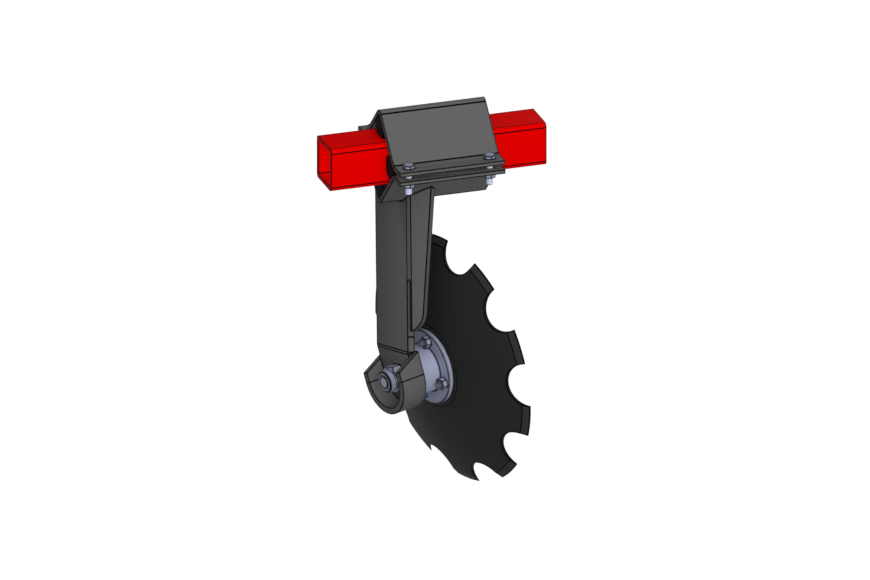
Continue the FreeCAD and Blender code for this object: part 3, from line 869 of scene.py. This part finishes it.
class DISCUNIT_OT_cords(bpy.types.Operator):
    """Four rubber cords between crossbar and clamp"""
    bl_idname = "discunit.cords"
    bl_label = "Rubber Cords"

    def execute(self, context):
        rubber = cord_rubber()
        for place in ("top", "bottom", "front", "rear"):
            node = "rubber_cord_" + place
            piece = self.squeezed_cord(node, "cord_" + place)
            paint(piece, rubber)
            hand_over(piece, "cords", "cord_rubber", node)
        return {"FINISHED"}

    def squeezed_cord(self, node, name):
        """A cord pressed into its pocket: flat on the crossbar and along both clamp faces."""
        low, high = (Vector(corner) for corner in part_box(node))
        middle = (low + high) / 2
        middle.x = 0
        inscribed = (high.z - low.z) / 2
        away = middle.normalized()
        aside = away.cross(Vector((1, 0, 0)))
        corner = sizes().cord_corner
        depth = inscribed * (1 + math.sqrt(2))
        foot = away * (middle.length - inscribed)
        spread = depth - corner * (1 + math.sqrt(2))
        spots = [foot + away * (depth - corner * math.sqrt(2)),
                 foot + away * corner + aside * spread, foot + away * corner - aside * spread]
        span = high.x - low.x - 2 * sizes().cord_inset
        along = (0, math.pi / 2, 0)
        piece = joined(name, [cylinder(name, 64, corner, span, spot, along) for spot in spots])
        edit()
        bpy.ops.mesh.convex_hull()
        bpy.ops.mesh.select_all(action="SELECT")
        bpy.ops.mesh.dissolve_limited(angle_limit=FLAT_ANGLE)
        close_edit()
        settle(piece)
        break_edges(piece, sizes().cord_round, steps=3)
        smooth(piece)
        return piece


class DISCUNIT_OT_frame_plates(bpy.types.Operator):
    """Clamp plates, folded arm and guard in satin grey"""
    bl_idname = "discunit.frame_plates"
    bl_label = "Clamp, Arm and Guard"

    def execute(self, context):
        # Lighter grey on the clamp than on the arm and guard: painted light on the clamp plates.
        clamp_lit_grey = satin_grey("clamp_lit_satin_grey", colours().clamp_lit_grey, clamp_seams)
        for side in ("upper", "lower"):
            node = side + "_clamp_plate"
            plate = rounded(node, "clamp_" + side)
            paint(plate, clamp_lit_grey)
            hand_over(plate, "arm", "frame_paint", node)
        arm = traced("trailing_arm", "arm_plate")
        self.round_fold(arm)
        break_edges(arm, sizes().edge_round)
        smooth(arm)
        paint(arm, satin_grey("arm_satin_grey", colours().frame_grey, arm_seams))
        hand_over(arm, "arm", "frame_paint", "trailing_arm")
        guard = rounded("hub_guard", "guard_shell")
        paint(guard, satin_grey("guard_satin_grey", colours().frame_grey, guard_seams))
        hand_over(guard, "arm", "frame_paint", "hub_guard")
        return {"FINISHED"}

    def round_fold(self, arm):
        """Gives the outside of the fold its bend radius."""
        size = sizes()
        place = tab_place()
        start = place @ Vector((0, 0, size.tab_length))
        line = place.to_3x3() @ fold_line()
        pick(arm)
        edit("DESELECT")
        bpy.ops.mesh.select_mode(type="EDGE")
        close_edit()
        on_line = [(corner.co - start).cross(line).length < ON_FOLD
                   for corner in arm.data.vertices]
        for edge in arm.data.edges:
            edge.select = all(on_line[corner] for corner in edge.vertices)
        bpy.ops.object.mode_set(mode="EDIT")
        bpy.ops.mesh.bevel(offset=size.fold_bend * math.tan(size.tab_fold / 2), segments=6)
        close_edit()


class DISCUNIT_OT_hub(bpy.types.Operator):
    """Plated hub, spindle and bearing rings"""
    bl_idname = "discunit.hub"
    bl_label = "Hub and Spindle"

    def execute(self, context):
        hub = rounded("hub_housing", "hub_body")
        paint(hub, hub_plate())
        hand_over(hub, "disc", "hub_zinc", "hub_housing")
        spindle = self.spindle()
        paint(spindle, finish_named("spindle_zinc", spindle_plate))
        hand_over(spindle, "arm", "zinc", "spindle")
        steel = ring_steel()
        for side, body in (("inner", "arm"), ("outer", "disc")):
            node = "bearing_%s_ring" % side
            ring = rounded(node, "bearing_ring_" + side, sizes().ring_round)
            paint(ring, steel)
            hand_over(ring, body, "bearing_steel", node)
        return {"FINISHED"}

    def spindle(self):
        """Stub axle: the neck at its outer end, the shank, and its head inside the hub."""
        size = sizes()
        shank = size.spindle_radius
        head = size.spindle_head_radius
        seat = size.spindle_seat
        tip = -size.spindle_proud
        neck = size.spindle_neck
        shoulder = tip + size.collar_depth + size.collar_cap
        piece = turned("spindle_bar", [
            (neck, tip), (neck, shoulder), (shank, shoulder), (shank, seat), (head, seat),
            (head, seat + size.spindle_head)])
        smooth(piece)
        settle(piece, axle_place())
        return piece


class DISCUNIT_OT_spindle_nut(bpy.types.Operator):
    """Chamfered spindle nut with its stepped lock collar"""
    bl_idname = "discunit.spindle_nut"
    bl_label = "Spindle Nut"

    def execute(self, context):
        size = sizes()
        bore = size.spindle_radius + THREAD_PLAY
        high = -size.spindle_nut_height
        nut = hexagon("spindle_hexagon", size.spindle_nut_across, high, 0, both_ends=True)
        cutter_ends = (-0.03, 0.01)
        carve(nut, turned("bore", [(bore, end) for end in cutter_ends]))
        smooth(nut)
        corner_up = Matrix.Rotation(math.radians(30), 4, "Z")
        settle(nut, axle_place() @ corner_up)
        paint(nut, spindle_nut_plate())
        hand_over(nut, "arm", "zinc", "spindle_nut")
        low = -size.spindle_proud + size.collar_depth
        outer = size.collar_radius
        lip = size.collar_lip
        mouth = size.collar_mouth
        step_end = low + size.collar_step
        cap_end = low + size.collar_cap
        collar = turned("lock_collar", [
            (mouth, low), (lip, low), (lip, step_end), (outer, step_end), (outer, high),
            (bore, high), (bore, cap_end), (mouth, cap_end), (mouth, low)])
        smooth(collar)
        settle(collar, axle_place())
        paint(collar, finish_named("spindle_zinc", spindle_plate))
        hand_over(collar, "arm", "zinc", "spindle_collar")
        return {"FINISHED"}


class DISCUNIT_OT_disc(bpy.types.Operator):
    """Dished disc with round notches and a ground rim"""
    bl_idname = "discunit.disc"
    bl_label = "Notched Disc"

    def execute(self, context):
        size = sizes()
        rim = size.disc_radius
        flat = size.disc_flat
        centre = (rim ** 2 - flat ** 2 - size.disc_dish ** 2) / (2 * size.disc_dish)
        ball = math.hypot(rim, centre)
        middle = size.disc_station + size.disc_dish + centre

        def on_dish(distance, depth):
            return distance, middle - math.sqrt((ball - depth) ** 2 - distance ** 2)

        plate = size.disc_plate
        seat_end = flat - 0.002
        bands = 18
        bevel_start = rim - size.rim_bevel
        radii = [flat + (bevel_start - flat) * band / bands for band in range(1, bands + 1)]
        back = size.disc_station + plate
        rings = [(size.disc_hole, size.disc_station), (seat_end, size.disc_station)]
        rings += [on_dish(radius, 0) for radius in radii]
        rings += [on_dish(rim, plate - size.rim_edge), on_dish(rim, plate)]
        rings += [on_dish(radius, plate) for radius in reversed(radii)]
        rings += [(seat_end, back), (size.disc_hole, back), (size.disc_hole, size.disc_station)]
        disc = turned("notched_disc", rings, steps=240)
        for x, y in round_axle(size.notch_count, rim, size.notch_phase):
            drill(disc, (x, y, size.disc_station), size.notch_radius, steps=96)
        for x, y in disc_bolt_spots():
            drill(disc, (x, y, back), size.bolt_radius + HOLE_PLAY, steps=32)
        smooth(disc, angle=20)
        settle(disc, axle_place())
        paint(disc, disc_finish())
        hand_over(disc, "disc", "disc_steel", "disc_blade")
        return {"FINISHED"}


def round_axle(number, radius, phase):
    """Spots evenly round the axle, the first at an angle from the arm's upward line."""
    turns = [phase + math.tau * step / number for step in range(number)]
    return [(radius * math.sin(turn), -radius * math.cos(turn)) for turn in turns]


def disc_bolt_spots():
    size = sizes()
    return round_axle(size.disc_bolt_count, size.disc_bolt_circle, size.disc_bolt_phase)


def bolt_pattern(name, length, thread, thread_finish):
    """Bolt with its head's seat at z 0 and its shank along +z. Its tip has the head's finish."""
    size = sizes()
    seat_gap = 0.0004
    washer = size.bolt_across * 0.46
    washer_depth = 0.0006
    head = hexagon(name + "_head", size.bolt_across, -size.bolt_head, -seat_gap)
    settle(head, Matrix.Translation((0, 0, -size.bolt_head)) @ HALF_TURN)
    washer_face = turned(name + "_washer", [(washer, -washer_depth), (washer, 0)], steps=48)
    shank = turned(name + "_shank", bolt_rings(length, thread), steps=32)
    bolt = united(name, [head, washer_face, shank])
    paint(bolt, finish_named("fastener_zinc", bolt_plate), thread_finish)
    shank_start = 0.0001
    shank_end = length - 0.0016
    for face in bolt.data.polygons:
        face.material_index = 1 if shank_start < face.center.z < shank_end else 0
    return bolt


def bolt_rings(length, thread):
    """Rings of a bolt's shank: plain up to its thread, then a ring at each crest and root."""
    radius = sizes().bolt_radius
    pitch = sizes().bolt_pitch
    root = radius - THREAD_DEPTH * pitch
    rings = [(radius, -OVERLAP), (radius, length - thread)]
    height = length - thread
    run_out = length - 0.001
    while height + pitch < run_out:
        rings += [(root, height + pitch / 2), (radius, height + pitch)]
        height += pitch
    tip_height = 0.0004
    tip_slope = 0.0008
    return rings + [(root, length - tip_height), (root - tip_slope, length)]


def nut_pattern(name):
    """Nut with its seat at z 0 and its hexagon along +z."""
    size = sizes()
    top = size.nut_height
    nut = hexagon(name, size.bolt_across, 0, top, both_ends=True)
    bore = size.bolt_radius + THREAD_PLAY
    carve(nut, turned(name + "_bore", [(bore, -CUT_PAST), (bore, top + CUT_PAST)], steps=32))
    paint(nut, finish_named("fastener_zinc", bolt_plate))
    return nut


def set_out(pattern, label, places, body, node):
    """Copies of a pattern at all its places, each a numbered piece. The pattern goes."""
    for number, place in enumerate(places, start=1):
        piece = placed_copy(pattern, "%s_%d" % (label, number), place)
        smooth(piece, angle=30)
        hand_over(piece, body, "zinc", node)
    bpy.data.objects.remove(pattern, do_unlink=True)


class DISCUNIT_OT_clamp_bolts(bpy.types.Operator):
    """Four bolts with lock nuts through the clamp's flanges"""
    bl_idname = "discunit.clamp_bolts"
    bl_label = "Clamp Bolts"

    def execute(self, context):
        size = sizes()
        spots = [(x * size.bolt_columns, y * size.bolt_rows) for x in (-1, 1) for y in (-1, 1)]
        top = size.flange_outside
        heads = [Matrix.Translation((x, y, top)) @ HALF_TURN for x, y in spots]
        seats = [Matrix.Translation((x, y, -top)) @ HALF_TURN for x, y in spots]
        bolt = bolt_pattern("clamp_bolt_pattern", size.clamp_bolt_length, size.clamp_thread,
                            shank_plate())
        set_out(bolt, "clamp_bolt", heads, "arm", "clamp_bolts")
        nut = nut_pattern("clamp_nut_pattern")
        set_out(nut, "clamp_nut", seats, "arm", "clamp_nuts")
        return {"FINISHED"}


class DISCUNIT_OT_disc_bolts(bpy.types.Operator):
    """Four bolts with lock nuts that hold the disc on the hub"""
    bl_idname = "discunit.disc_bolts"
    bl_label = "Disc Bolts"

    def execute(self, context):
        size = sizes()
        back = size.disc_station + size.disc_plate
        axle = axle_place()
        spots = disc_bolt_spots()
        heads = [axle @ Matrix.Translation((x, y, back)) @ HALF_TURN for x, y in spots]
        seats = [axle @ Matrix.Translation((x, y, size.flange_station)) @ HALF_TURN
                 for x, y in spots]
        bolt = bolt_pattern("disc_bolt_pattern", size.disc_bolt_length, size.disc_thread,
                            stud_plate())
        set_out(bolt, "disc_bolt", heads, "disc", "disc_bolts")
        nut = nut_pattern("disc_nut_pattern")
        set_out(nut, "disc_nut", seats, "disc", "disc_nuts")
        return {"FINISHED"}


# Stage


def white_where_seen(tree):
    """Mask of the rays that see plain white: the camera's, and those in reflections and glass."""
    path = add_node(tree, "ShaderNodeLightPath")
    rays = ("Is Camera Ray", "Is Glossy Ray", "Is Transmission Ray")
    return either(tree, [path.outputs[ray] for ray in rays])


class DISCUNIT_OT_stage(bpy.types.Operator):
    """Camera, main light, even sky and pale floor"""
    bl_idname = "discunit.stage"
    bl_label = "Camera, Light and Floor"

    def execute(self, context):
        self.camera()
        self.light("main_light", stage().sun_strength, shadow=True)
        self.light("fill_light", stage().fill_strength, shadow=False)
        self.sky()
        self.floor()
        context.scene.view_settings.view_transform = "Standard"
        return {"FINISHED"}

    def camera(self):
        view = stage()
        away = math.cos(view.view_elevation)
        back = Vector((math.sin(view.view_azimuth) * away, -math.cos(view.view_azimuth) * away,
                       math.sin(view.view_elevation)))
        right = Vector((0, 0, 1)).cross(back).normalized()
        up = back.cross(right)
        aim = right * view.aim_right - up * view.aim_down
        lens = bpy.data.cameras.new("view")
        lens.type = "ORTHO"
        lens.ortho_scale = view.view_width
        camera = bpy.data.objects.new("view", lens)
        bpy.context.collection.objects.link(camera)
        camera.location = aim + back * view.view_distance
        camera.rotation_euler = back.to_track_quat("Z", "Y").to_euler()
        bpy.context.scene.camera = camera

    def light(self, name, strength, shadow):
        view = stage()
        lamp = bpy.data.lights.new(name, "SUN")
        lamp.energy = strength
        lamp.angle = view.sun_spread
        lamp.use_shadow = shadow
        sun = bpy.data.objects.new(name, lamp)
        bpy.context.collection.objects.link(sun)
        toward = Vector((0, -math.cos(view.sun_elevation), math.sin(view.sun_elevation)))
        sun.rotation_euler = toward.to_track_quat("Z", "Y").to_euler()

    def sky(self):
        world = bpy.data.worlds.new("even_sky")
        bpy.context.scene.world = world
        world.use_nodes = True
        tree = world.node_tree
        background = next(node for node in tree.nodes if node.type == "BACKGROUND")
        background.inputs["Color"].default_value = WHITE
        strength = add_node(tree, "ShaderNodeMapRange")
        feed(tree, strength.inputs["Value"], white_where_seen(tree))
        strength.inputs["To Min"].default_value = stage().sky_strength
        strength.inputs["To Max"].default_value = 1.0
        tree.links.new(strength.outputs["Result"], background.inputs["Strength"])

    def floor(self):
        deselect()
        bpy.ops.mesh.primitive_plane_add(size=stage().floor_size,
                                         location=(0, 0, -stage().floor_drop))
        floor = bpy.context.object
        floor.name = "floor"
        settle(floor)
        material, tree, shader = new_material("floor_white")
        shader.inputs["Base Color"].default_value = rgba([stage().floor_tone] * 3)
        shader.inputs["Roughness"].default_value = 0.9
        shader.inputs["Specular IOR Level"].default_value = 0.0
        shader.inputs["Emission Color"].default_value = WHITE
        lift = calculate(tree, "MULTIPLY", white_where_seen(tree), stage().floor_lift)
        tree.links.new(lift, shader.inputs["Emission Strength"])
        floor.data.materials.append(material)


class DISCUNIT_PT_panel(bpy.types.Panel):
    """Lists the unit's pieces and its stage"""
    bl_idname = "DISCUNIT_PT_panel"
    bl_label = "Disc Unit"
    bl_space_type = "VIEW_3D"
    bl_region_type = "UI"
    bl_category = "Disc Unit"

    def draw(self, context):
        for operator in OPERATORS:
            self.layout.operator(operator.bl_idname)


OPERATORS = (
    DISCUNIT_OT_stage, DISCUNIT_OT_crossbar, DISCUNIT_OT_cords, DISCUNIT_OT_frame_plates,
    DISCUNIT_OT_hub, DISCUNIT_OT_spindle_nut, DISCUNIT_OT_disc, DISCUNIT_OT_clamp_bolts,
    DISCUNIT_OT_disc_bolts,
)
CLASSES = (DiscUnitSizes, DiscUnitColours, DiscUnitStage) + OPERATORS + (DISCUNIT_PT_panel,)


def register():
    for kind in CLASSES:
        bpy.utils.register_class(kind)
    bpy.types.Scene.disc_unit_sizes = bpy.props.PointerProperty(type=DiscUnitSizes)
    bpy.types.Scene.disc_unit_colours = bpy.props.PointerProperty(type=DiscUnitColours)
    bpy.types.Scene.disc_unit_stage = bpy.props.PointerProperty(type=DiscUnitStage)


def unregister():
    del bpy.types.Scene.disc_unit_stage
    del bpy.types.Scene.disc_unit_colours
    del bpy.types.Scene.disc_unit_sizes
    for kind in reversed(CLASSES):
        bpy.utils.unregister_class(kind)


def main():
    register()
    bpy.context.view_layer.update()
    bpy.ops.discunit.stage()
    bpy.ops.discunit.crossbar()
    bpy.ops.discunit.cords()
    bpy.ops.discunit.frame_plates()
    bpy.ops.discunit.hub()
    bpy.ops.discunit.spindle_nut()
    bpy.ops.discunit.disc()
    bpy.ops.discunit.clamp_bolts()
    bpy.ops.discunit.disc_bolts()


if __name__ == "__main__":
    main()
